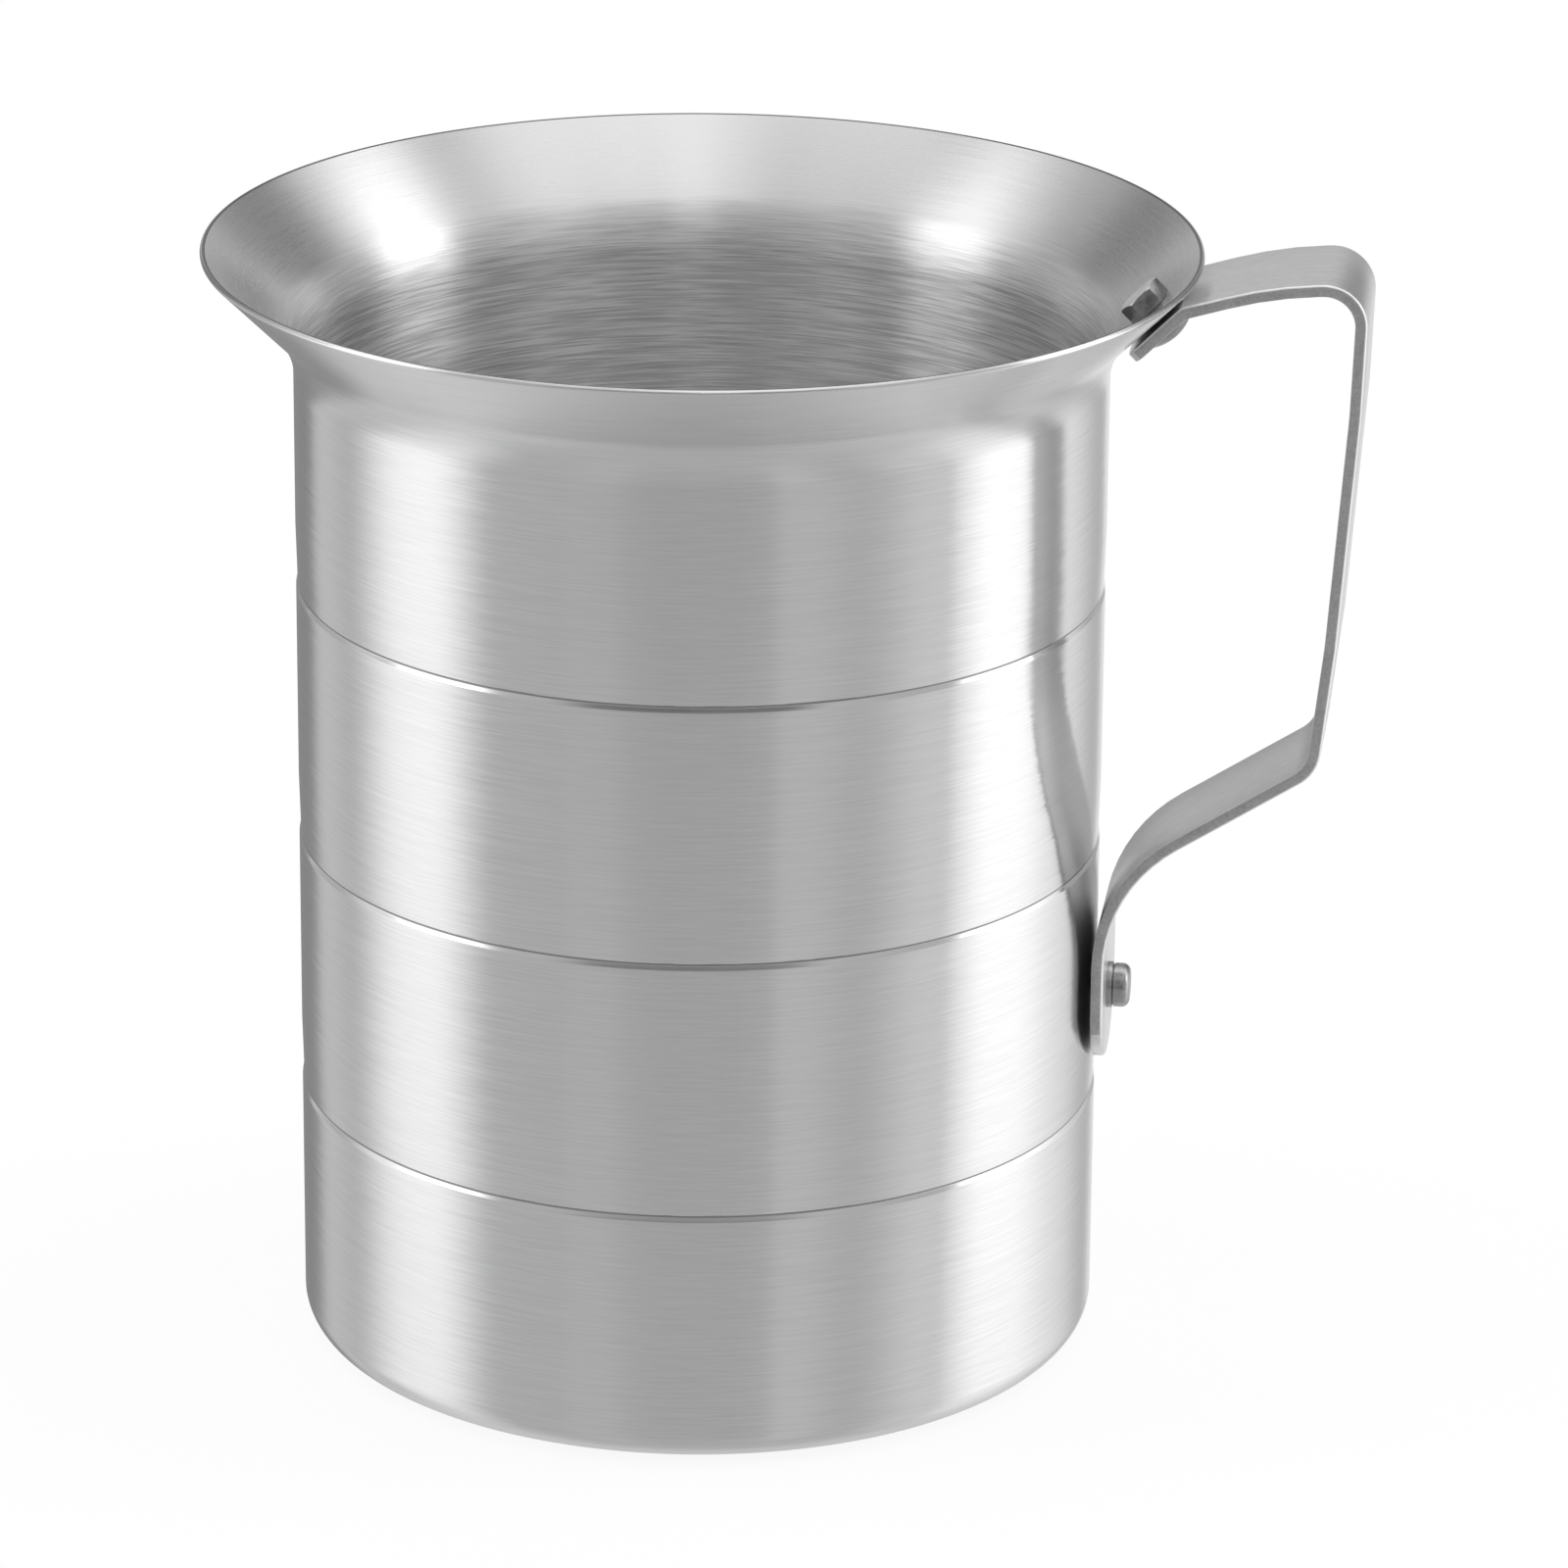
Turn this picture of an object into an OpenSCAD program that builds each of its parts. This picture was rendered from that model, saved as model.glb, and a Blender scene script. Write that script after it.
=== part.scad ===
// Spun metal measuring jug: a straight vessel with a flared lip and pressed
// graduation grooves, and a bent strap handle bolted to the lip and the wall.
// Millimetres. The origin is the centre of the flat base, +Z is up and the
// handle stands out along +X.

/* [Vessel] */
// Outside diameter of the straight wall
body_d = 156; // [140:0.5:175]
// Height from the table to the highest point of the lip
height = 219; // [205:0.1:240]
// How far the lip overhangs the straight wall
flare_w = 17.6; // [15:0.1:22]
// Slope of the lip above level, in degrees
flare_angle = 45; // [40:0.5:50]
// Radius of the bend from the wall into the lip, on the outside
neck_r = 14; // [8:0.5:18]
// Radius of the rounded edge around the base, on the outside
base_r = 6; // [3:0.5:12]
// Thickness of the sheet that the vessel is spun from
sheet = 1.2; // [0.8:0.1:2]

/* [Graduations] */
// Height of one measured quarter, from groove to groove
band_h = 50.8; // [44:0.1:56]
// Number of grooves around the wall
groove_count = 3; // [1:1:3]
// How deep a groove is pressed into the wall
groove_depth = 0.5; // [0.2:0.05:0.9]
// How tall a groove is
groove_h = 1.6; // [1:0.1:3]
// How far the wall tucks in just above a groove
tuck = 0.3; // [0.1:0.05:0.6]
// Height over which the wall tucks in
tuck_run = 11; // [5:0.5:14]

/* [Handle strap] */
// Width of the strap
strap_w = 28; // [20:0.5:34]
// Thickness of the strap
strap_t = 2.3; // [1.5:0.1:3]
// Distance from the strap's upper end to the middle of the lip bolt
lip_margin = 6.3; // [5.5:0.1:8]
// Radius of the corners at the strap's upper end
tab_corner = 2.5; // [1:0.1:5]
// Straight strap left between the domed nut and the bend under the lip
knee_room = 0.2; // [0.2:0.1:2]
// How far the upper corner of the grip stands out from the lip's edge
reach = 30.8; // [24:0.1:45]
// Height of the upper corner above the lip
top_rise = 0.3; // [-3:0.1:8]
// How far the top run arches above a straight line
arch = 1.9; // [0.5:0.1:3]
// How far the grip bows outwards from a straight line
bow = 1.85; // [0.5:0.05:4]
// Distance of the lower corner from the vessel's wall
lower_reach = 41.7; // [34:0.1:55]
// Drop of the slanted brace, from the lower corner to the wall
brace_drop = 25.9; // [18:0.1:34]
// Height of the wall bolt above the lowest groove
bolt_rise = 21.5; // [18:0.1:30]
// Straight strap between the wall bolt and the brace's bend
wall_flat = 8.4; // [7:0.1:16]

/* [Strap bends, along the middle of the strap] */
// Bend under the lip
lip_bend = 3; // [2:0.1:5]
// Arch of the top run
arch_bend = 80; // [40:1:120]
// Upper corner of the grip
top_bend = 7; // [4:0.1:12]
// Bow of the grip
bow_bend = 600; // [300:10:900]
// Lower corner of the grip
low_bend = 7.5; // [4:0.1:12]
// Bend of the brace onto the wall
wall_bend = 31; // [15:0.5:36]

/* [Fasteners] */
// Thread diameter of the lip bolt
lip_bolt_d = 5; // [3:0.5:6]
// Size of the lip bolt's head across its flats
lip_hex_af = 8; // [6:0.5:10]
// Height of the lip bolt's head
lip_hex_h = 3.6; // [2:0.1:5]
// Turn of the lip bolt's head, in degrees
lip_head_turn = 14; // [0:1:59]
// Thread diameter of the wall bolt
wall_bolt_d = 3; // [2.5:0.5:4]
// Size of the wall bolt's head across its flats
wall_hex_af = 5.5; // [5:0.5:8]
// Height of the wall bolt's head
wall_hex_h = 2; // [1.5:0.1:3]
// How far the chamfer takes the corners of both heads down
hex_chamfer = 0.3; // [0.2:0.1:0.8]
// Slope of that chamfer, in degrees
chamfer_angle = 30; // [25:1:45]
// Diameter of the domed nut under the strap
dome_d = 11.4; // [9:0.1:13]
// Height of the dome
dome_h = 3.3; // [2.5:0.1:4.5]
// Straight edge around the dome
dome_land = 1.4; // [0.3:0.1:2]
// Wall of the domed nut's barrel, around the bolt
barrel_wall = 0.8; // [0.6:0.1:1.2]
// Diameter of the cap nut on the wall
cap_d = 8.6; // [7:0.1:11]
// Length of the cap nut
cap_l = 3.3; // [3:0.1:6]
// Rounding of the cap nut's outer edge
cap_round = 1.5; // [0.5:0.1:2]
// Height and depth of the turned neck at the cap nut's foot
cap_neck = 0.3; // [0.1:0.1:0.6]
// Metal left at the closed end of both nuts
nut_end = 1; // [0.8:0.1:1.2]
// Diameter of the collar washer under the cap nut
collar_d = 9; // [7.5:0.1:13]
// Thickness of the collar washer
collar_t = 0.9; // [0.6:0.1:2]
// Diameter of the sealing washer inside the wall
seal_d = 9.5; // [8.5:0.1:13]
// Thickness of the sealing washer
seal_t = 1; // [0.6:0.1:2]

/* [Clearances] */
// Gap between the flat strap and the round vessel, along the strap's middle
strap_gap = 0.35; // [0.1:0.05:0.6]
// Gap under a flat head or washer, where the hollow inside comes closest
seat_gap = 0.08; // [0.03:0.01:0.2]
// Gap all around a shank or barrel in a plain hole
hole_gap = 0.15; // [0.1:0.05:0.4]
// Gap all around a bolt in its nut
thread_gap = 0.05; // [0.03:0.01:0.1]
// Gap between the end of a shank or barrel and what closes its hole
end_gap = 0.3; // [0.2:0.1:0.6]

/* [Hidden] */

// Facets of a full turn, degrees between the points of a drawn arc, and overshoot of a cut
$fn = 96;
arc_step = 6;
over = 1;

spun_colour = [0.74, 0.74, 0.75];
strap_colour = [0.68, 0.68, 0.69];
bolt_colour = [0.60, 0.60, 0.61];
nut_colour = [0.66, 0.66, 0.66];
seal_colour = [0.80, 0.79, 0.76];

// Vessel: the lip's lower edge, the bend under it, and where the straight slope starts
body_r = body_d / 2;
rim_r = body_r + flare_w;
rim_z = height - sheet * cos(flare_angle);
neck_turn = 90 - flare_angle;
neck_z = rim_z - flare_w * tan(flare_angle) - neck_r * tan(neck_turn / 2);
slope = [cos(flare_angle), sin(flare_angle)];
slope_start = [body_r + neck_r * (1 - cos(neck_turn)), neck_z + neck_r * sin(neck_turn)];

// Grooves: the highest place where one may end, and the heights of those that the wall has room for
groove_top = neck_z - over;
grooves = [for (i = [1 : groove_count]) if (i * band_h + groove_h < groove_top) i * band_h];

// Handle: corners of the strap's middle line, from under the lip to the wall
mid = strap_gap + strap_t / 2;
lip_seat = slope_start + slope * lip_margin;
tab_end = slope_start + mid * [slope.y, -slope.x];
lip_run = lip_margin + dome_d / 2 + knee_room + lip_bend * tan(flare_angle / 2);
lip_knee = tab_end + slope * lip_run;
top_corner = [rim_r + reach, height + top_rise];
wall_bolt_z = band_h + bolt_rise;
wall_turn = 90 - atan2(brace_drop, lower_reach - mid);
wall_knee = [body_r + mid, wall_bolt_z + wall_flat + wall_bend * tan(wall_turn / 2)];
wall_end = [body_r + mid, wall_bolt_z - strap_w / 2 - over];
low_corner = [body_r + lower_reach, wall_knee.y + brace_drop];
arch_knee = bulged(lip_knee, top_corner, arch);
bow_knee = bulged(top_corner, low_corner, bow);
strap_knees = [tab_end, lip_knee, arch_knee, top_corner, bow_knee, low_corner, wall_knee, wall_end];
strap_bends = [lip_bend, arch_bend, top_bend, bow_bend, low_bend, wall_bend];

// Fasteners: heights of their faces, measured into the vessel from its outside
barrel_d = lip_bolt_d + 2 * barrel_wall;
wall_hole_d = wall_bolt_d + 2 * hole_gap;
slope_curve_r = (lip_seat.x - sheet * slope.y) / slope.y;
lip_head_z = sheet + rise(corner_r(lip_hex_af), slope_curve_r) + seat_gap;
wall_seal_z = sheet + rise(seal_d / 2, body_r - sheet) + seat_gap;
strap_face = -(strap_gap + strap_t);
lip_bolt_tip = strap_face - dome_h + nut_end + end_gap;
wall_nut_z = strap_face - collar_t;
wall_bolt_tip = wall_nut_z - cap_l + nut_end + end_gap;

// Radius of a hexagon's corners, from its size across the flats
function corner_r(af) = af / 2 / cos(180 / 6);

// Depth of a hollow of radius hollow_r under a flat disc of radius r
function rise(r, hollow_r) = hollow_r - sqrt(hollow_r * hollow_r - r * r);

// Point off the middle of a line, to the left of the way it runs
function bulged(from, to, by) =
    let (along = (to - from) / norm(to - from))
    (from + to) / 2 + by * [-along.y, along.x];

// Points along an arc about a centre
function arc(centre, r, from, to) =
    let (n = max(1, ceil(abs(to - from) / arc_step)))
    [for (i = [0 : n])
        let (a = from + (to - from) * i / n)
        centre + r * [cos(a), sin(a)]];

function backwards(points) = [for (i = [len(points) - 1 : -1 : 0]) points[i]];

// One groove, from below it to the end of the tucked wall above it
function groove(r, z) = [
    [r, z - groove_h / 2],
    [r - groove_depth, z],
    [r - tuck, z + groove_h / 2],
    [r, min(z + groove_h / 2 + tuck_run, groove_top)]];

// Section of the vessel's sheet, at a depth in from the outside
function spun_line(depth) = concat(
    [[0, depth]],
    arc([body_r - base_r, base_r], base_r - depth, -90, 0),
    [for (z = grooves) each groove(body_r - depth, z)],
    arc([body_r + neck_r, neck_z], neck_r + depth, 180, 180 - neck_turn),
    [[rim_r, rim_z] + depth * [-slope.y, slope.x]]);

// One bend of a strap, drawn at a distance to the left of its middle line.
// The radius is limited to what half of the shorter straight can hold.
function bend(before, knee, after, r, left) =
    let (u = (knee - before) / norm(knee - before),
         v = (after - knee) / norm(after - knee),
         turn = atan2(u.x * v.y - u.y * v.x, u * v),
         room = min(norm(knee - before), norm(after - knee)) / 2,
         bend_r = min(r, room / tan(abs(turn) / 2)),
         start = knee - u * bend_r * tan(abs(turn) / 2),
         centre = start + sign(turn) * bend_r * [-u.y, u.x],
         from = atan2(start.y - centre.y, start.x - centre.x))
    arc(centre, bend_r - sign(turn) * left, from, from + turn);

// One face of the bent strap, seen from the side
function strap_line(left) =
    let (k = strap_knees,
         last = len(k) - 1,
         u = (k[1] - k[0]) / norm(k[1] - k[0]),
         v = (k[last] - k[last - 1]) / norm(k[last] - k[last - 1]))
    concat(
        [k[0] + left * [-u.y, u.x]],
        [for (i = [1 : last - 1]) each bend(k[i - 1], k[i], k[i + 1], strap_bends[i - 1], left)],
        [k[last] + left * [-v.y, v.x]]);

// Places its children on the lip's outside, with Z square to the slope, into the vessel
module at_lip() {
    translate([lip_seat.x, 0, lip_seat.y]) rotate([0, -flare_angle, 0]) children();
}

// Places its children on the wall's outside, with Z square to the wall, into the vessel
module at_wall() {
    translate([body_r, 0, wall_bolt_z]) rotate([0, -90, 0]) children();
}

// Round bar from one height to another, for shanks and for holes
module rod(d, low, high) {
    translate([0, 0, low]) cylinder(d = d, h = high - low);
}

module washer(outer_d, low, high) {
    difference() {
        rod(outer_d, low, high);
        rod(wall_hole_d, low - over, high + over);
    }
}

// Bolt with a chamfered hexagon head, from the head's seat down to the tip
module hex_bolt(d, af, h, head_z, tip_z, turn) {
    top_z = head_z + h;
    clear_r = corner_r(af) + over;
    intersection() {
        translate([0, 0, head_z]) rotate(turn) cylinder(r = corner_r(af), h = h, $fn = 6);
        rotate_extrude() polygon([
            [0, head_z - over],
            [clear_r, head_z - over],
            [clear_r, top_z - hex_chamfer - over * tan(chamfer_angle)],
            [corner_r(af) - hex_chamfer / tan(chamfer_angle), top_z],
            [0, top_z]]);
    }
    rod(d, tip_z, head_z + h / 2);
}

// The strap's side view, bent and a little over its full width
module bent_strap() {
    rotate([90, 0, 0]) linear_extrude(height = strap_w + over, center = true)
        polygon(concat(strap_line(strap_t / 2), backwards(strap_line(-strap_t / 2))));
}

// The strap's front view: parallel sides, with a round end about the wall bolt
module strap_front() {
    side = strap_w / 2;
    tall = top_corner.y + strap_w;
    rotate([90, 0, 90]) linear_extrude(height = top_corner.x + strap_w)
        polygon(concat(
            arc([0, wall_bolt_z], side, 180, 360),
            [[side, tall], [-side, tall]]));
}

// What comes off the two corners at the strap's upper end
module tab_corners() {
    for (side = [0, 1]) mirror([0, side, 0])
        translate([-lip_margin, -strap_w / 2, strap_face - over])
            linear_extrude(height = over - strap_face)
                polygon(concat(
                    [[-over, tab_corner], [-over, -over], [tab_corner, -over]],
                    arc([tab_corner, tab_corner], tab_corner, 270, 180)));
}

module vessel() {
    color(spun_colour) difference() {
        rotate_extrude() polygon(concat(spun_line(0), backwards(spun_line(sheet))));
        at_lip() rod(barrel_d + 2 * hole_gap, -over, sheet + over);
        at_wall() rod(wall_hole_d, -over, sheet + over);
    }
}

module handle_strap() {
    color(strap_colour) difference() {
        intersection() {
            bent_strap();
            strap_front();
        }
        at_lip() tab_corners();
        at_lip() rod(barrel_d + 2 * hole_gap, strap_face - over, 0);
        at_wall() rod(wall_hole_d, strap_face - over, 0);
    }
}

module lip_bolt() {
    color(bolt_colour) at_lip()
        hex_bolt(lip_bolt_d, lip_hex_af, lip_hex_h, lip_head_z, lip_bolt_tip, lip_head_turn);
}

module lip_nut() {
    crown = dome_h - dome_land;
    crown_r = (pow(dome_d / 2, 2) + pow(crown, 2)) / (2 * crown);
    edge = asin(dome_d / 2 / crown_r);
    color(nut_colour) at_lip() difference() {
        union() {
            rotate_extrude() polygon(concat(
                [[0, strap_face], [dome_d / 2, strap_face]],
                arc([0, strap_face - dome_h + crown_r], crown_r, edge - 90, -90)));
            rod(barrel_d, strap_face - dome_land, sheet - end_gap);
        }
        rod(lip_bolt_d + 2 * thread_gap, lip_bolt_tip - end_gap, sheet);
    }
}

module wall_bolt() {
    color(bolt_colour) at_wall()
        hex_bolt(wall_bolt_d, wall_hex_af, wall_hex_h, wall_seal_z + seal_t, wall_bolt_tip, 0);
}

module wall_seal() {
    color(seal_colour) at_wall() washer(seal_d, wall_seal_z, wall_seal_z + seal_t);
}

module wall_collar() {
    color(nut_colour) at_wall() washer(collar_d, wall_nut_z, strap_face);
}

module wall_nut() {
    end_z = wall_nut_z - cap_l;
    color(nut_colour) at_wall() difference() {
        rotate_extrude() polygon(concat(
            [[0, wall_nut_z], [0, end_z]],
            arc([cap_d / 2 - cap_round, end_z + cap_round], cap_round, -90, 0),
            [[cap_d / 2, wall_nut_z - cap_neck],
             [cap_d / 2 - cap_neck, wall_nut_z - cap_neck],
             [cap_d / 2 - cap_neck, wall_nut_z]]));
        rod(wall_bolt_d + 2 * thread_gap, wall_bolt_tip - end_gap, wall_nut_z + over);
    }
}

vessel();
handle_strap();
lip_bolt();
lip_nut();
wall_bolt();
wall_seal();
wall_collar();
wall_nut();
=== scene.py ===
"""A spun metal measuring jug with a bolted strap handle: its finishes, its stage and its camera."""

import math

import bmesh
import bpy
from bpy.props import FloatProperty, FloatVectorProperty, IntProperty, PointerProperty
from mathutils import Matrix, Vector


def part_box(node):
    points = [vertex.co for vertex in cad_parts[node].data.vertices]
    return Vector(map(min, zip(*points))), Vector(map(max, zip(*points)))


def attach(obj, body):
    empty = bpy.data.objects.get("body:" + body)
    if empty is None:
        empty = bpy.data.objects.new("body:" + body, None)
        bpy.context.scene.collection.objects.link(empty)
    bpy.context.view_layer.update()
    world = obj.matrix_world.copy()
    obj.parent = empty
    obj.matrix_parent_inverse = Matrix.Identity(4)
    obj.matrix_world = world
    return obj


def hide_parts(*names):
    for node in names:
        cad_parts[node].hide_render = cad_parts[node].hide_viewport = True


bl_info = {
    "name": "Measuring Jug",
    "version": (1, 0, 0),
    "blender": (4, 5, 0),
    "location": "View3D > Sidebar > Jug",
    "description": "Dresses the solids of a spun measuring jug and sets a plain studio around them",
    "category": "Object",
}

# The solids, and the box that they fill before anything is dressed
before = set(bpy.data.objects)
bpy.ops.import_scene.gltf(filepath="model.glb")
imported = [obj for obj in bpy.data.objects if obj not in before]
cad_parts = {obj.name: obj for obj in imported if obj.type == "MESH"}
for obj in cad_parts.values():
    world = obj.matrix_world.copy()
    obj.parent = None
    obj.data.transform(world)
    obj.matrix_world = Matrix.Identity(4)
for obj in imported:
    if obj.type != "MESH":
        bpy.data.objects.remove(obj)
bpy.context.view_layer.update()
VESSEL_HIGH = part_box("vessel")[1]

MM = 0.001
WHITE = (1.0, 1.0, 1.0, 1.0)
PALE = (0.9, 0.9, 0.9, 1.0)

# Height at which the inside turns from the wall into the lip, and the height that the turn takes
LIP_START = VESSEL_HIGH.z - 24 * MM
LIP_TURN = 14 * MM

# Corners this near are one corner, and faces that turn less than this are one face
MERGE = 0.001 * MM
FLAT = math.radians(0.5)

# A solid's line is a real edge past the first turn, and shading breaks past the second
SHARP = math.radians(25)
CREASE = math.radians(40)

# Depth of the fine marks on the metals, and of the torn cut edge
MARKS = 0.02 * MM
TORN = 0.05 * MM

# Places of the vessel's finishes in its list of materials
OUTSIDE, INSIDE, RING_SHADE, RING_GLEAM, RIM_CUT_PAINTED_REFLECTION = range(5)

# The rim's cut edge, a real sheared edge whose dark colour is partly a painted dark reflection: how far
# it reaches down, and how far its faces look inwards and outwards
RIM_REACH = 0.5 * MM
RIM_INWARD, RIM_OUTWARD = -0.65, 0.45

# A rolled face of the strap looks sideways less than the first, and a cut side more than the second
ROLLED_SIDEWAYS, CUT_SIDEWAYS = 0.1, 0.9

# A side of a bolt's head looks along the bolt less than this, and gets the painted shade of the sides
SIDE_ALONG = 0.5


def length(name, description, default):
    """A size in metres that the panel shows as a distance."""
    return FloatProperty(
        name=name, description=description, default=default, min=0.0, unit="LENGTH", subtype="DISTANCE"
    )


def angle(name, description, degrees):
    """An angle that is written in degrees."""
    return FloatProperty(
        name=name, description=description, default=math.radians(degrees), unit="ROTATION",
        subtype="ANGLE",
    )


def share(name, description, default):
    """A plain number from 0 to 1."""
    return FloatProperty(
        name=name, description=description, default=default, min=0.0, max=1.0, subtype="FACTOR"
    )


def level(name, description, default):
    """A brightness, where 1 is white."""
    return FloatProperty(name=name, description=description, default=default, min=0.0)


def colour(name, description, default):
    """A linear colour."""
    return FloatVectorProperty(
        name=name, description=description, default=default, size=3, min=0.0, max=1.0, subtype="COLOR"
    )


class JugSizes(bpy.types.PropertyGroup):
    """Sizes of the spun vessel and of the rounding on the strap and fittings."""

    body_diameter: length("Body diameter", "Outside of the straight wall", 156 * MM)
    rim_diameter: length("Rim diameter", "Outside of the flared lip", 2 * VESSEL_HIGH.x)
    height: length("Height", "From the table to the top of the lip", VESSEL_HIGH.z)
    sheet: length("Sheet", "Thickness of the spun sheet", 1.2 * MM)
    base_round: length("Base corner", "Outside radius between base and wall", 6 * MM)
    neck_round: length("Neck bend", "Outside radius between wall and lip", 14 * MM)
    lip_slope: angle("Lip slope", "Slope of the lip against the table", 45)
    band: length("Band height", "Height of one measuring band", 50.8 * MM)
    groove_count: IntProperty(name="Grooves", description="Pressed rings in the wall", default=3, min=0)
    groove_depth: length("Groove depth", "How far a ring is pressed in", 0.5 * MM)
    groove_height: length("Groove height", "Height of one pressed ring", 1.6 * MM)
    tuck: length("Tuck", "How far the wall steps in above a ring", 0.3 * MM)
    tuck_run: length("Tuck run", "Height over which the wall comes back out", 11 * MM)
    rim_edge: length("Rim edge", "Rounding of the lip's cut edge", 0.5 * MM)
    strap_round: length("Strap outer edge", "Rounding along the strap's outer edges", 0.65 * MM)
    strap_edge: length("Strap inner edge", "Rounding along the strap's inner edges", 0.2 * MM)
    fitting_edge: length("Fitting edge", "Rounding on bolts, nuts and washers", 0.12 * MM)
    turns: IntProperty(name="Spin steps", description="Steps round the vessel", default=256, min=32)


class JugFinishes(bpy.types.PropertyGroup):
    """Colours and surface numbers of the jug's finishes."""

    spun: colour("Spun metal", "The vessel's satin metal", (0.80, 0.80, 0.805))
    ring_shade: colour("Ring shade", "The shaded upper side of each pressed ring", (0.32, 0.32, 0.32))
    # The rim colour is partly the real sheared edge and partly a painted dark reflection
    rim_cut_painted_reflection: colour("Rim cut", "The cut edge round the lip", (0.2, 0.2, 0.2))
    strap: colour("Strap metal", "The strap's rolled faces", (0.89, 0.89, 0.895))
    cut: colour("Cut edge", "The strap's sheared edges", (0.56, 0.56, 0.565))
    # The bolts' ends and sides are lit and shaded copies of one steel: painted light on the ends,
    # painted shade on the sides
    bolt: colour("Bolt steel", "The ends of the hexagon bolts", (0.95, 0.95, 0.95))
    bolt_side_painted_shade: colour("Bolt sides", "The hexagons' duller sides", (0.36, 0.36, 0.36))
    nut: colour("Nut metal", "The cap nut and its collar", (0.43, 0.43, 0.43))
    dome: colour("Dome metal", "The domed nut under the lip", (0.34, 0.34, 0.34))
    seal: colour("Seal nylon", "The washer inside the wall", (0.72, 0.71, 0.66))
    spun_roughness: share("Spun roughness", "Roughness of the vessel", 0.21)
    lip_roughness: share("Lip roughness", "Roughness of the lip's inside", 0.28)
    inside_roughness: share("Inside roughness", "Roughness of the vessel's inside", 0.38)
    spun_grain: share("Spun grain", "How far the spinning lines stretch a highlight", 1.0)
    strap_roughness: share("Strap roughness", "Roughness of the strap's faces", 0.32)


class JugStage(bpy.types.PropertyGroup):
    """Where the camera stands, how big the light tent is and how bright its parts are."""

    distance: length("Camera distance", "From the jug's axis, along the table", 1.4298)
    camera_height: length("Camera height", "Above the table", 0.6295)
    heading: angle("Camera side", "Turn of the camera about the jug's axis", 7.8)
    tilt: angle("Camera tilt", "How far the camera looks down", 19.983)
    swing: angle("Camera swing", "How far the camera looks to the right of the axis", 0.655)
    roll: angle("Camera roll", "Turn of the camera about its own view", 0.5)
    lens: FloatProperty(
        name="Lens", description="Focal length in millimetres", default=179.3, min=1.0,
        subtype="DISTANCE_CAMERA",
    )
    tent_radius: length("Tent radius", "Radius of the ring of soft boxes", 2.5)
    tent_height: length("Tent height", "Height of the tent's roof above the table", 6.0)
    tent_drop: length("Tent drop", "How far the tent hangs below the table", 4.5)
    floor_size: length("Floor size", "From the middle of the floor to its edge", 30.0)
    floor_gap: length("Floor gap", "How far the floor lies below the jug", 0.5 * MM)
    floor_white: share("Floor white", "How far the floor is plain white where it is seen", 0.8)
    floor_level: level("Floor", "Brightness of the floor's white", 1.08)
    front_level: level("Front cloth", "Brightness of the cloth round the camera", 0.483)
    back_level: level("Back cloth", "Brightness of the cloth behind the jug", 0.47)
    card_level: level("Dark cards", "Brightness of the cards at and above the camera", 0.12)
    left_low: level("Left box, low", "Brightness of its lower tier", 0.64)
    left_middle: level("Left box, middle", "Brightness of its middle tier", 1.9)
    right_edge: level("Right box, edge", "Brightness of its lower tier at the front edge", 0.36)
    right_low: level("Right box, low", "What its lower tier gains behind that edge", 0.42)
    right_middle: level("Right box, middle", "Brightness of its middle tier", 2.45)
    upper_level: level("Upper boxes", "Brightness of the upper tier at both sides", 0.92)
    roof_level: level("Roof", "Brightness of the tent's roof", 1.24)
    ground_level: level("Ground", "Brightness of the tent's ground in front", 0.5)


class Socket:
    """A node's output that Python's arithmetic works on, by adding Math nodes."""

    def __init__(self, nodes, socket):
        self.nodes = nodes
        self.socket = socket

    def out(self, name):
        """Another output of the same node."""
        return Socket(self.nodes, self.socket.node.outputs[name])

    def math(self, operation, first, second):
        """One Math node on two values."""
        return self.nodes.add("Math", {"operation": operation}, {0: first, 1: second})

    def __add__(self, other):
        return self.math("ADD", self, other)

    def __radd__(self, other):
        return self.math("ADD", other, self)

    def __sub__(self, other):
        return self.math("SUBTRACT", self, other)

    def __rsub__(self, other):
        return self.math("SUBTRACT", other, self)

    def __mul__(self, other):
        return self.math("MULTIPLY", self, other)

    def __rmul__(self, other):
        return self.math("MULTIPLY", other, self)

    def __truediv__(self, other):
        return self.math("DIVIDE", self, other)

    def __rtruediv__(self, other):
        return self.math("DIVIDE", other, self)

    def __pow__(self, other):
        return self.math("POWER", self, other)

    def __neg__(self):
        return self.math("MULTIPLY", self, -1.0)


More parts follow.
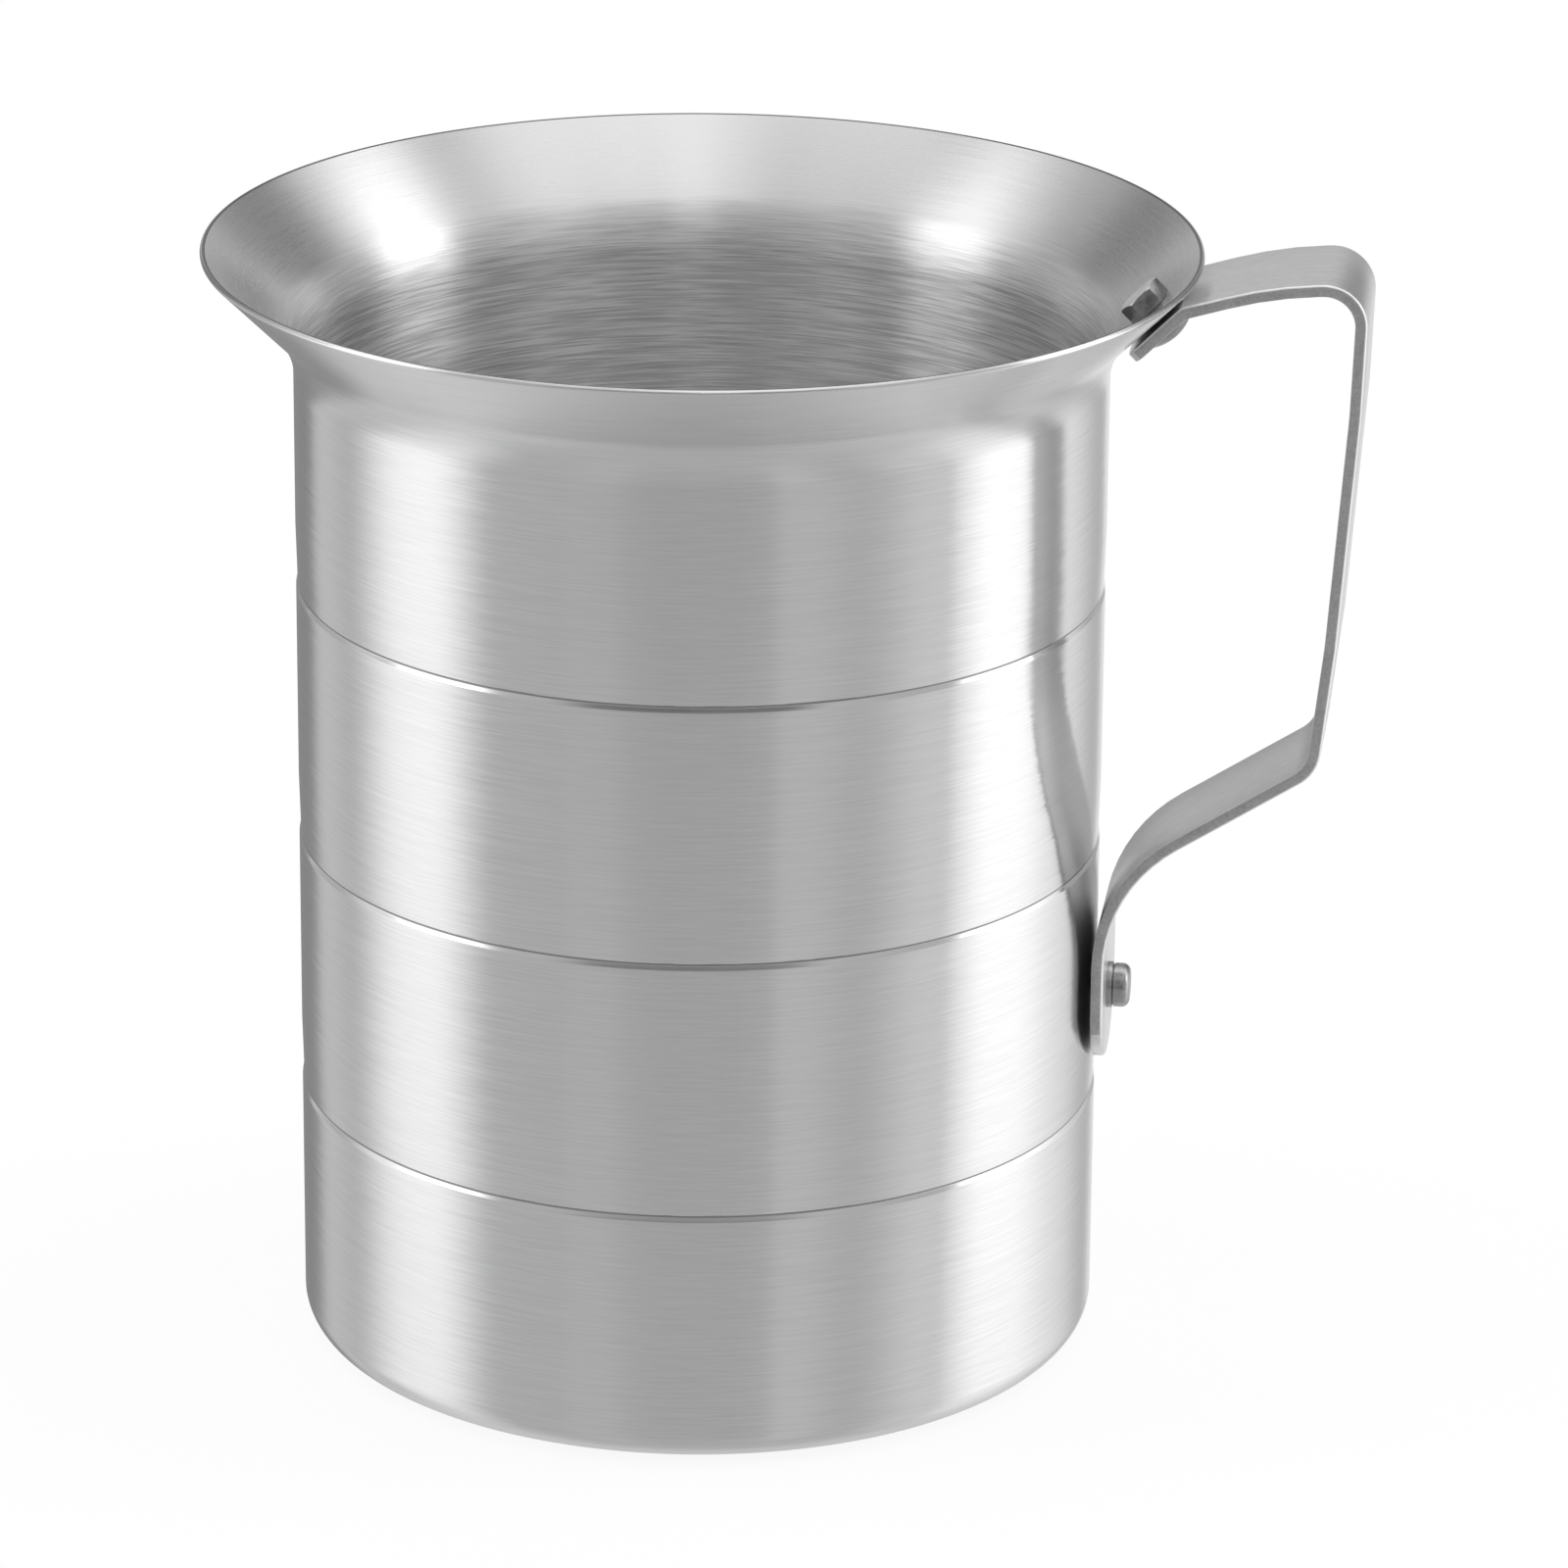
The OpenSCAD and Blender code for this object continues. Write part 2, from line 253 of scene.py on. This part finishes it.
class Nodes:
    """The node tree of one material or world, and the one way to add to it."""

    def __init__(self, owner):
        owner.use_nodes = True
        self.tree = owner.node_tree
        self.tree.nodes.clear()

    def add(self, kind, settings=None, sockets=None, output=0):
        """Adds a node with its settings, then the values or links of its sockets."""
        node = self.tree.nodes.new("ShaderNode" + kind)
        for name, value in (settings or {}).items():
            setattr(node, name, value)
        for name, value in (sockets or {}).items():
            target = node.inputs[name]
            if isinstance(value, Socket):
                self.tree.links.new(value.socket, target)
            else:
                target.default_value = value
        return Socket(self, node.outputs[output]) if len(node.outputs) else node

    def smooth(self, value, start, end):
        """A soft step from 0 at start to 1 at end."""
        return self.add(
            "MapRange",
            {"interpolation_type": "SMOOTHSTEP"},
            {"Value": value, "From Min": start, "From Max": end, "To Min": 0.0, "To Max": 1.0},
        )

    def panel(self, value, start, full, hold, end):
        """1 from full to hold, and softly down to 0 at start and at end."""
        return self.smooth(value, start, full) * (1.0 - self.smooth(value, hold, end))

    def point(self):
        """The place on the piece, in metres."""
        return self.add("TexCoord", output="Object")

    def noise(self, place, detail, roughness=0.5):
        """Cloudy noise about 0.5, with spots one unit across."""
        return self.add(
            "TexNoise", {"noise_dimensions": "3D"},
            {"Vector": place, "Scale": 1.0, "Detail": detail, "Roughness": roughness},
        )

    def spots(self, scale, detail, roughness=0.5):
        """Noise with so many spots to the metre along x, y and z."""
        place = self.add("Mapping", None, {"Vector": self.point(), "Scale": scale})
        return self.noise(place, detail, roughness)

    def tint(self, base, low, high, amount):
        """The base colour from low to high times itself, by amount."""
        dark = tuple(min(1.0, part * low) for part in base) + (1.0,)
        light = tuple(min(1.0, part * high) for part in base) + (1.0,)
        return self.add(
            "Mix", {"data_type": "RGBA", "clamp_factor": True}, {0: amount, 6: dark, 7: light}, output=2
        )

    def bump(self, height, strength, depth, more=None):
        """The normal of a surface that a pattern raises, with more sockets if given."""
        sockets = {"Strength": strength, "Distance": depth, "Height": height}
        sockets.update(more or {})
        return self.add("Bump", None, sockets)

    def seen(self):
        """1 where the camera, a reflection or a clear piece looks, 0 for plain light."""
        path = self.add("LightPath", output="Is Camera Ray")
        either = path.math("MAXIMUM", path, path.out("Is Glossy Ray"))
        return either.math("MAXIMUM", either, path.out("Is Transmission Ray"))

    def metal(self, tone, roughness, normal, more=None):
        """Ends the tree in a metal with this colour, roughness and normal, and more sockets if given."""
        sockets = {"Base Color": tone, "Metallic": 1.0, "Roughness": roughness, "Normal": normal}
        sockets.update(more or {})
        self.finish(self.add("BsdfPrincipled", None, sockets))

    def finish(self, shader, kind="OutputMaterial"):
        """Ends the tree in a shader."""
        self.add(kind, None, {"Surface": shader})


def new_material(name):
    """A material and its empty tree."""
    material = bpy.data.materials.new(name)
    return material, Nodes(material)


def spun_metal(name, base, roughness, grain, line_depth, mottle, lean=0.0, lip_calm=0.0, deep=None):
    """Satin metal with spinning lines round the axis.

    Grain stretches its highlights across the lines, line_depth raises them, mottle varies their colour
    and lean scatters reflections round the axis. The lip is spared the share lip_calm of the last three.
    Below the lip the roughness is deep.
    """
    material, nodes = new_material(name)
    if deep is None:
        deep = roughness
    x = nodes.add("SeparateXYZ", None, {"Vector": nodes.point()})
    y = x.out("Y")
    z = x.out("Z")
    radius = (x * x + y * y) ** 0.5
    along = z + radius
    side_x = x / radius
    side_y = y / radius

    def lines(round_scale, line_scale, detail):
        """Noise that is drawn out round the axis."""
        place = nodes.add(
            "CombineXYZ", None,
            {"X": side_x * round_scale, "Y": side_y * round_scale, "Z": along * line_scale},
        )
        return nodes.noise(place, detail)

    fine = lines(6.0, 3000.0, 3.0)
    broad = lines(3.0, 900.0, 2.0)
    cloud = lines(2.5, 40.0, 3.0)
    scatter = lines(6.0, 2400.0, 2.0) - 0.5
    lip = nodes.smooth(z, LIP_START, LIP_START + LIP_TURN)
    depth = 1.0 - lip * lip_calm
    facing = nodes.add("NewGeometry", output="Normal")
    round_way = nodes.add("CombineXYZ", None, {"X": -side_y, "Y": side_x, "Z": 0.0})
    shift = nodes.add(
        "VectorMath", {"operation": "SCALE"}, {"Vector": round_way, "Scale": scatter * lean * depth}
    )
    leaned = nodes.add("VectorMath", {"operation": "ADD"}, {0: facing, 1: shift})
    leaned = nodes.add("VectorMath", {"operation": "NORMALIZE"}, {0: leaned})
    worn = fine * 0.7 + broad * 0.2 + cloud * 0.1
    varied = 0.5 + (nodes.smooth(worn, 0.34, 0.66) - 0.5) * depth
    tone = nodes.tint(base, 1.0 - mottle, 1.0 + mottle, varied)
    rough = (deep + lip * (roughness - deep)) * (0.8 + worn * 0.4)
    bump = nodes.bump((fine * 0.7 + broad * 0.3) * depth, line_depth, MARKS, {"Normal": leaned})
    nodes.metal(tone, rough, bump, {"Anisotropic": grain, "Anisotropic Rotation": 0.25})
    return material


def rolled_metal(name, base, roughness):
    """The strap's rolled face: faint lines along its length, and small scuffs."""
    material, nodes = new_material(name)
    fine = nodes.spots((45.0, 2600.0, 45.0), 3.0)
    scuff = nodes.spots((420.0, 900.0, 420.0), 4.0, 0.6)
    worn = fine * 0.6 + scuff * 0.4
    tone = nodes.tint(base, 0.92, 1.06, nodes.smooth(worn, 0.32, 0.68))
    rough = roughness * 0.75 + worn * (roughness * 0.5)
    nodes.metal(tone, rough, nodes.bump(worn, 0.25, MARKS))
    return material


def sheared_metal(name, base):
    """The strap's cut edge: dull, torn across its thickness, and speckled."""
    material, nodes = new_material(name)
    speckle = nodes.spots((1500.0, 1500.0, 1500.0), 3.0, 0.6)
    patch = nodes.spots((260.0, 260.0, 260.0), 3.0)
    worn = speckle * 0.65 + patch * 0.35
    tone = nodes.tint(base, 0.86, 1.16, nodes.smooth(worn, 0.32, 0.68))
    nodes.metal(tone, 0.42 + worn * 0.2, nodes.bump(speckle, 0.25, TORN))
    return material


def fitting_metal(name, base, roughness, marks_depth):
    """Turned or forged fittings: even metal with fine marks and small dark patches."""
    material, nodes = new_material(name)
    fine = nodes.spots((1400.0, 1400.0, 1400.0), 3.0)
    patch = nodes.spots((350.0, 350.0, 350.0), 2.0)
    worn = fine * 0.5 + patch * 0.5
    tone = nodes.tint(base, 0.85, 1.1, nodes.smooth(worn, 0.35, 0.65))
    rough = roughness * 0.8 + worn * (roughness * 0.4)
    nodes.metal(tone, rough, nodes.bump(fine, marks_depth, MARKS))
    return material


def nylon(name, base):
    """The seal's pale plastic, slightly mottled."""
    material, nodes = new_material(name)
    patch = nodes.spots((500.0, 500.0, 500.0), 3.0)
    tone = nodes.tint(base, 0.9, 1.05, patch)
    sockets = {"Base Color": tone, "Roughness": 0.4 + patch * 0.15}
    nodes.finish(nodes.add("BsdfPrincipled", None, sockets))
    return material


def make_object(name, shape, materials):
    """An object in the scene from a shape, which is used up."""
    mesh = bpy.data.meshes.new(name)
    shape.to_mesh(mesh)
    shape.free()
    for material in materials:
        mesh.materials.append(material)
    made = bpy.data.objects.new(name, mesh)
    bpy.context.scene.collection.objects.link(made)
    return made


def make_piece(name, shape, materials, node):
    """A piece that stands for one solid, with smooth faces that break at its real edges."""
    piece = make_object(name, shape, materials)
    piece.data.shade_smooth()
    piece.data.set_sharp_from_angle(angle=CREASE)
    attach(piece, "root")
    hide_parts(node)


def merged_copy(node):
    """A copy of a solid's mesh with its doubled corners merged and its flat faces whole."""
    shape = bmesh.new()
    shape.from_mesh(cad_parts[node].data)
    bmesh.ops.remove_doubles(shape, verts=shape.verts[:], dist=MERGE)
    bmesh.ops.dissolve_limit(shape, angle_limit=FLAT, verts=shape.verts[:], edges=shape.edges[:])
    return shape


def sharp_lines(shape):
    """The lines along a shape's real edges."""
    return [line for line in shape.edges if line.calc_face_angle(0.0) > SHARP]


def smooth_region(face):
    """The faces that can be reached from one face without crossing a sharp line."""
    region = {face}
    waiting = [face]
    while waiting:
        for line in waiting.pop().edges:
            if line.calc_face_angle(0.0) < SHARP:
                fresh = [other for other in line.link_faces if other not in region]
                region.update(fresh)
                waiting.extend(fresh)
    return region


def round_lines(shape, lines, edge, steps):
    """Rounds some of a shape's lines."""
    bmesh.ops.bevel(
        shape, geom=lines, offset=edge, offset_type="OFFSET", affect="EDGES", segments=steps,
        profile=0.5, material=-1, clamp_overlap=True,
    )


def vessel_section(sizes):
    """Corners of the spun sheet's section as (radius, height, rounding), up outside and down inside."""
    wall = sizes.body_diameter / 2
    inner = wall - sizes.sheet
    rim = sizes.rim_diameter / 2
    slope = sizes.lip_slope
    rim_low = sizes.height - sizes.sheet * math.cos(slope)
    neck = rim_low - (rim - wall) * math.tan(slope)
    half_turn = (math.pi / 2 - slope) / 2
    half = sizes.groove_height / 2

    # Plain wall that borders a ring, and the rounding of the ring's corners outside and inside
    guard = 1.5 * MM
    soft = 0.1 * MM
    inner_soft = 4 * soft

    # The outside is pressed a little less deep than the inside, and turns back a little lower
    pressed = 0.8 * sizes.groove_depth
    turned_back = 0.55 * half

    outside = [(0.0, 0.0, 0.0), (wall, 0.0, sizes.base_round)]
    for number in range(1, sizes.groove_count + 1):
        ring = number * sizes.band
        outside += [
            (wall, ring - half - guard, 0.0),
            (wall, ring - half, soft),
            (wall - pressed, ring, soft),
            (wall - sizes.tuck, ring + turned_back, soft),
            (wall - sizes.tuck * (1 - guard / sizes.tuck_run), ring + half + guard, 0.0),
            (wall, ring + half + sizes.tuck_run, 0.0),
        ]
    outside += [
        (wall, neck, sizes.neck_round * math.tan(half_turn)),
        (rim, rim_low, sizes.rim_edge),
    ]

    lift = sizes.sheet * math.tan(half_turn)
    inside = [
        (rim - sizes.sheet * math.sin(slope), sizes.height, sizes.rim_edge),
        (inner, neck + lift, (sizes.neck_round + sizes.sheet) * math.tan(half_turn)),
    ]
    for number in range(sizes.groove_count, 0, -1):
        ring = number * sizes.band
        inside += [
            (inner, ring + half + sizes.tuck_run, 0.0),
            (inner - sizes.tuck, ring + 2 * half, inner_soft),
            (inner - sizes.groove_depth, ring, inner_soft),
            (inner, ring - 2 * half, inner_soft),
        ]
    inside += [(inner, sizes.sheet, sizes.base_round - sizes.sheet), (0.0, sizes.sheet, 0.0)]
    return outside + inside


def vessel_finish(face, sizes):
    """Which of the vessel's finishes a face has, by where it lies and which way it looks."""
    middle = face.calc_center_median()
    upward = face.normal.z
    outward = face.normal.dot(Vector((middle.x, middle.y, 0.0)).normalized())
    # The lip's top edge gets the rim colour, which paints a dark reflection along it
    if middle.z > sizes.height - RIM_REACH and RIM_INWARD < outward < RIM_OUTWARD:
        return RIM_CUT_PAINTED_REFLECTION
    ring = round(middle.z / sizes.band)
    near = abs(middle.z - ring * sizes.band) < 0.7 * sizes.groove_height
    if near and 0 < ring <= sizes.groove_count and outward > 0.5 and abs(upward) > 0.1:
        return RING_SHADE if upward < 0 else RING_GLEAM
    return INSIDE if upward - outward > 0.1 else OUTSIDE


class JUG_OT_vessel(bpy.types.Operator):
    """Spin the vessel from the section of its sheet"""

    bl_idname = "jug.vessel"
    bl_label = "Spun vessel"

    def execute(self, context):
        sizes = context.scene.jug_sizes
        shape = self.spin(sizes)
        for face in shape.faces:
            face.material_index = vessel_finish(face, sizes)
        materials = self.metals(context.scene.jug_finishes)
        make_piece("vessel_skin", shape, materials, "vessel")
        return {"FINISHED"}

    def spin(self, sizes):
        """The closed shell, from the section's corners, which are rounded before they are spun."""
        shape = bmesh.new()
        section = vessel_section(sizes)
        corners = [shape.verts.new((radius, 0.0, height)) for radius, height, soft in section]
        for first, second in zip(corners, corners[1:]):
            shape.edges.new((first, second))
        for corner, (radius, height, soft) in zip(corners, section):
            if soft > 0:
                bmesh.ops.bevel(
                    shape, geom=[corner], offset=soft, offset_type="OFFSET", affect="VERTICES",
                    segments=12 if soft > 2 * MM else 4, profile=0.5, material=-1,
                )
        bmesh.ops.spin(
            shape, geom=shape.verts[:] + shape.edges[:], cent=(0, 0, 0), axis=(0, 0, 1),
            angle=math.tau, steps=sizes.turns, use_merge=True,
        )
        bmesh.ops.remove_doubles(shape, verts=shape.verts[:], dist=MERGE)
        bmesh.ops.recalc_face_normals(shape, faces=shape.faces[:])
        if any(not line.is_manifold for line in shape.edges):
            raise RuntimeError("the spun vessel isn't closed")
        return shape

    def metals(self, finishes):
        """The vessel's materials, in the order of their places."""
        base = tuple(finishes.spun)
        grain = finishes.spun_grain
        dull = {"roughness": 0.35, "grain": 0.6, "line_depth": 0.1, "mottle": 0.05}
        return (
            spun_metal(
                "spun_outside", base, finishes.spun_roughness, grain,
                line_depth=0.15, mottle=0.035, lean=0.05,
            ),
            spun_metal(
                "spun_inside", base, finishes.lip_roughness, grain,
                line_depth=0.8, mottle=0.24, lean=0.1, lip_calm=0.85, deep=finishes.inside_roughness,
            ),
            spun_metal("ring_shade", tuple(finishes.ring_shade), **dull),
            spun_metal("ring_gleam", base, roughness=0.16, grain=0.6, line_depth=0.05, mottle=0.02),
            # Rim colour: the real cut edge, darkened with a painted dark reflection
            spun_metal("rim_cut_painted_reflection", tuple(finishes.rim_cut_painted_reflection), **dull),
        )


class JUG_OT_handle(bpy.types.Operator):
    """Round the strap's edges and give its faces and cut sides their own finish"""

    bl_idname = "jug.handle"
    bl_label = "Strap handle"

    def execute(self, context):
        sizes = context.scene.jug_sizes
        finishes = context.scene.jug_finishes
        shape = merged_copy("handle_strap")
        faces = [face for face in shape.faces if abs(face.normal.y) < ROLLED_SIDEWAYS]
        outer = smooth_region(max(faces, key=lambda face: face.calc_center_median().x))
        outline = [line for line in sharp_lines(shape) if len(outer.intersection(line.link_faces)) == 1]
        round_lines(shape, outline, sizes.strap_round, steps=4)
        round_lines(shape, sharp_lines(shape), sizes.strap_edge, steps=3)
        for face in shape.faces:
            face.material_index = 1 if abs(face.normal.y) > CUT_SIDEWAYS else 0
        face_metal = rolled_metal("strap_face", tuple(finishes.strap), finishes.strap_roughness)
        edge_metal = sheared_metal("strap_cut", tuple(finishes.cut))
        make_piece("strap_bent", shape, (face_metal, edge_metal), "handle_strap")
        return {"FINISHED"}


class JUG_OT_fittings(bpy.types.Operator):
    """Dress the bolts, nuts, collar and seal that hold the strap"""

    bl_idname = "jug.fittings"
    bl_label = "Bolts, nuts and washers"

    def execute(self, context):
        sizes = context.scene.jug_sizes
        finishes = context.scene.jug_finishes
        # Lit copy of the bolt steel for the ends, and a painted shade copy for the hexagons' sides
        bolt = fitting_metal("bolt_steel", tuple(finishes.bolt), roughness=0.5, marks_depth=0.06)
        sides = fitting_metal("bolt_side_painted_shade", tuple(finishes.bolt_side_painted_shade), roughness=0.23, marks_depth=0.06)
        nut = fitting_metal("nut_metal", tuple(finishes.nut), roughness=0.3, marks_depth=0.15)
        dome = fitting_metal("dome_metal", tuple(finishes.dome), roughness=0.32, marks_depth=0.15)
        seal = nylon("seal_nylon", tuple(finishes.seal))
        fittings = (
            ("lip_bolt", "lip_bolt_head", (bolt, sides), "bolt_steel"),
            ("lip_nut", "lip_nut_dome", (dome,), "nut_metal"),
            ("wall_bolt", "wall_bolt_head", (bolt, sides), "bolt_steel"),
            ("wall_seal", "wall_seal_ring", (seal,), "seal_nylon"),
            ("wall_collar", "wall_collar_ring", (nut,), "nut_metal"),
            ("wall_nut", "wall_nut_cap", (nut,), "nut_metal"),
        )
        for node, name, materials, slot in fittings:
            shape = merged_copy(node)
            axis = max(shape.faces, key=lambda face: face.calc_area()).normal.copy()
            round_lines(shape, sharp_lines(shape), sizes.fitting_edge, steps=2)
            # Faces across a bolt's axis take the painted shade of the sides, the ends keep the lit copy
            for face in shape.faces:
                across = abs(face.normal.dot(axis)) < SIDE_ALONG
                face.material_index = 1 if across and len(materials) > 1 else 0
            make_piece(name, shape, materials, node)
        return {"FINISHED"}


class TentGlow:
    """How bright the light tent's cloth is, by the side that it hangs on and by its height."""

    def __init__(self, nodes, stage):
        self.nodes = nodes
        self.stage = stage
        x = nodes.add("SeparateXYZ", None, {"Vector": nodes.point()})
        self.side = x.math("ARCTAN2", x, -x.out("Y")) * math.degrees(1.0)
        self.around = self.side.math("ABSOLUTE", self.side, 0.0)
        self.rise = x.out("Z")
        self.low = 1.0 - nodes.smooth(self.rise, -0.5, 0.4)

    def wide(self, start, full, hold, end):
        """A panel between two sides, in degrees to the right of the camera."""
        return self.nodes.panel(self.side, start, full, hold, end)

    def tall(self, start, full, hold, end):
        """A panel between two heights, in metres above the table."""
        return self.nodes.panel(self.rise, start, full, hold, end)

    def side_boxes(self):
        """The soft boxes at the left and the right, in three tiers."""
        stage = self.stage
        left = self.wide(-118, -92, -81, -59) * stage.left_low
        right = self.wide(72, 75, 101, 140) * stage.right_edge
        right = right + self.wide(73, 89, 101, 140) * stage.right_low
        fade = 0.6 + self.nodes.smooth(self.rise, -1.7, -0.7) * 0.46
        lower = (left + right) * (1.0 - self.nodes.smooth(self.rise, 0.3, 0.9)) * fade
        left = self.wide(-98, -84, -70, -58) * stage.left_middle
        right = self.wide(75, 84, 99, 114) * stage.right_middle
        middle = (left + right) * self.tall(0.3, 0.8, 1.4, 1.9)
        left = self.wide(-130, -106, -80, -62) * self.tall(1.4, 1.9, 3.2, 4.0)
        right = self.wide(76, 100, 124, 142) * self.tall(1.4, 1.9, 2.9, 3.7)
        return lower + middle + (left + right) * stage.upper_level

    def front_cloth(self):
        """The cloth round the camera, with slits of light high up and two rows of dark cards."""
        cloth = self.stage.front_level + self.nodes.smooth(self.rise, 0.6, 2.2) * 0.04
        cloth = cloth - self.wide(-24, -8, 8, 18) * 0.03
        cloth = cloth + self.wide(-42, -34, -28, -18) * 0.04 + self.wide(18, 24, 27, 44) * 0.1
        cloth = cloth + self.wide(46, 68, 71, 74) * self.low * 0.22
        slits = self.wide(-6, 0, 7, 13) * 0.9 + self.wide(36, 42, 52, 60) * 0.35
        slits = slits + self.wide(-50, -42, -34, -26) * 0.25
        cloth = cloth + slits * self.tall(2.0, 2.3, 2.9, 3.5)
        cloth = cloth + self.wide(40, 70, 100, 125) * self.tall(2.6, 3.3, 4.2, 5.0) * 0.35
        cards = self.tall(1.05, 1.3, 1.8, 2.1) + self.tall(-0.1, 0.1, 0.5, 0.8)
        cards = self.wide(-46, -28, 24, 40) * cards
        return cloth * (1.0 - cards) + cards * self.stage.card_level

    def back_cloth(self):
        """The cloth behind the jug, with flags that shade it low down and at both ends."""
        cloth = self.stage.back_level + self.low * 0.16
        flags = self.wide(-215, -160, -143, -138.5) * 0.36 + self.wide(138, 150, 156, 160) * 0.12
        flags = flags - self.wide(157, 162, 176, 190) * 0.35
        flags = flags * self.low * self.nodes.smooth(self.rise, -2.3, -1.5)
        strip = self.wide(110, 120, 132, 146) * self.low
        ends = self.nodes.panel(self.around, 126, 138, 150, 164) * self.tall(-0.1, 0.3, 1.5, 2.1)
        centre = self.nodes.smooth(self.around, 158, 170) * self.tall(0.3, 0.6, 2.2, 3.0)
        return cloth - flags + strip * 0.1 - ends * 0.27 + centre * 0.04

    def strength(self):
        """The brightness of the whole tent: its cloth and boxes, its roof and its ground."""
        behind = self.nodes.smooth(self.around, 112, 134)
        cloth = self.front_cloth() * (1.0 - behind) + self.back_cloth() * behind + self.side_boxes()
        top = self.nodes.smooth(self.rise, 4.0, 5.6)
        roof = self.stage.roof_level - self.wide(-100, -75, -40, -20) * 0.5
        bottom = 1.0 - self.nodes.smooth(self.rise, -4.0, -2.0)
        ground = self.stage.ground_level + self.nodes.smooth(self.around, 60, 120) * 0.22
        return cloth * (1.0 - top) * (1.0 - bottom) + top * roof + bottom * ground


class JUG_OT_stage(bpy.types.Operator):
    """Set the floor, the soft boxes, the world and the camera"""

    bl_idname = "jug.stage"
    bl_label = "Stage and camera"

    def execute(self, context):
        stage = context.scene.jug_stage
        context.scene.view_settings.view_transform = "Standard"
        self.set_world(context.scene)
        self.lay_floor(stage)
        self.hang_tent(stage)
        self.place_camera(context.scene, stage)
        return {"FINISHED"}

    def set_world(self, scene):
        """A room that is pale to plain light and white where it is seen."""
        world = bpy.data.worlds.new("white_room")
        scene.world = world
        nodes = Nodes(world)
        plain = nodes.add("Background", None, {"Color": PALE, "Strength": 1.0})
        white = nodes.add("Background", None, {"Color": WHITE, "Strength": 1.0})
        mixed = nodes.add("MixShader", None, {0: nodes.seen(), 1: plain, 2: white})
        nodes.finish(mixed, "OutputWorld")

    def lay_floor(self, stage):
        """A pale floor that is mostly white where it is seen, and keeps the jug's shadow."""
        shape = bmesh.new()
        bmesh.ops.create_grid(shape, x_segments=1, y_segments=1, size=stage.floor_size)
        material, nodes = new_material("floor_white")
        matt = nodes.add("BsdfDiffuse", None, {"Color": PALE})
        lit = nodes.add("Emission", None, {"Color": WHITE, "Strength": stage.floor_level})
        white = nodes.seen() * stage.floor_white
        nodes.finish(nodes.add("MixShader", None, {0: white, 1: matt, 2: lit}))
        floor = make_object("pale_floor", shape, (material,))
        floor.location.z = -stage.floor_gap
        floor.visible_glossy = False
        floor.visible_shadow = False

    def hang_tent(self, stage):
        """A ring of cloth round the stage with a soft box at each side, seen only in reflections."""
        shape = bmesh.new()
        ring = bmesh.ops.create_circle(shape, cap_ends=False, radius=stage.tent_radius, segments=180)
        bmesh.ops.translate(shape, verts=ring["verts"], vec=(0, 0, -stage.tent_drop))
        raised = bmesh.ops.extrude_edge_only(shape, edges=shape.edges[:])["geom"]
        upper = [part for part in raised if isinstance(part, bmesh.types.BMVert)]
        bmesh.ops.translate(shape, verts=upper, vec=(0, 0, stage.tent_drop + stage.tent_height))
        rim = [part for part in raised if isinstance(part, bmesh.types.BMEdge)]
        hem = [line for line in shape.edges if all(end in ring["verts"] for end in line.verts)]
        bmesh.ops.contextual_create(shape, geom=rim)
        bmesh.ops.contextual_create(shape, geom=hem)
        material, nodes = new_material("tent_glow")
        glow = TentGlow(nodes, stage).strength()
        nodes.finish(nodes.add("Emission", None, {"Color": WHITE, "Strength": glow}))
        tent = make_object("light_tent", shape, (material,))
        tent.rotation_euler.z = stage.heading
        tent.visible_camera = False
        tent.visible_shadow = False

    def place_camera(self, scene, stage):
        """The camera at the photograph's viewing angle."""
        data = bpy.data.cameras.new("photo_view")
        data.lens = stage.lens
        data.sensor_width = 36.0
        data.clip_end = 200.0
        camera = bpy.data.objects.new("photo_view", data)
        turn = Matrix.Rotation(stage.heading, 4, "Z")
        look = Matrix.Rotation(-stage.swing, 4, "Z") @ Matrix.Rotation(math.pi / 2 - stage.tilt, 4, "X")
        stand = Matrix.Translation((0.0, -stage.distance, stage.camera_height))
        camera.matrix_world = turn @ stand @ look @ Matrix.Rotation(stage.roll, 4, "Z")
        scene.collection.objects.link(camera)
        scene.camera = camera


class JUG_PT_build(bpy.types.Panel):
    """Lists the jug's pieces, finishes and stage"""

    bl_label = "Measuring Jug"
    bl_idname = "JUG_PT_build"
    bl_space_type = "VIEW_3D"
    bl_region_type = "UI"
    bl_category = "Jug"

    def draw(self, context):
        layout = self.layout
        for operator in OPERATORS:
            layout.operator(operator.bl_idname)
        for group in (context.scene.jug_sizes, context.scene.jug_finishes, context.scene.jug_stage):
            box = layout.box()
            for name in group.bl_rna.properties.keys():
                if name not in ("rna_type", "name"):
                    box.prop(group, name)


OPERATORS = (JUG_OT_stage, JUG_OT_vessel, JUG_OT_handle, JUG_OT_fittings)
CLASSES = (JugSizes, JugFinishes, JugStage) + OPERATORS + (JUG_PT_build,)


def register():
    for part in CLASSES:
        bpy.utils.register_class(part)
    bpy.types.Scene.jug_sizes = PointerProperty(type=JugSizes)
    bpy.types.Scene.jug_finishes = PointerProperty(type=JugFinishes)
    bpy.types.Scene.jug_stage = PointerProperty(type=JugStage)


def unregister():
    del bpy.types.Scene.jug_stage
    del bpy.types.Scene.jug_finishes
    del bpy.types.Scene.jug_sizes
    for part in reversed(CLASSES):
        bpy.utils.unregister_class(part)


def main():
    register()
    bpy.ops.jug.stage()
    bpy.ops.jug.vessel()
    bpy.ops.jug.handle()
    bpy.ops.jug.fittings()


if __name__ == "__main__":
    main()
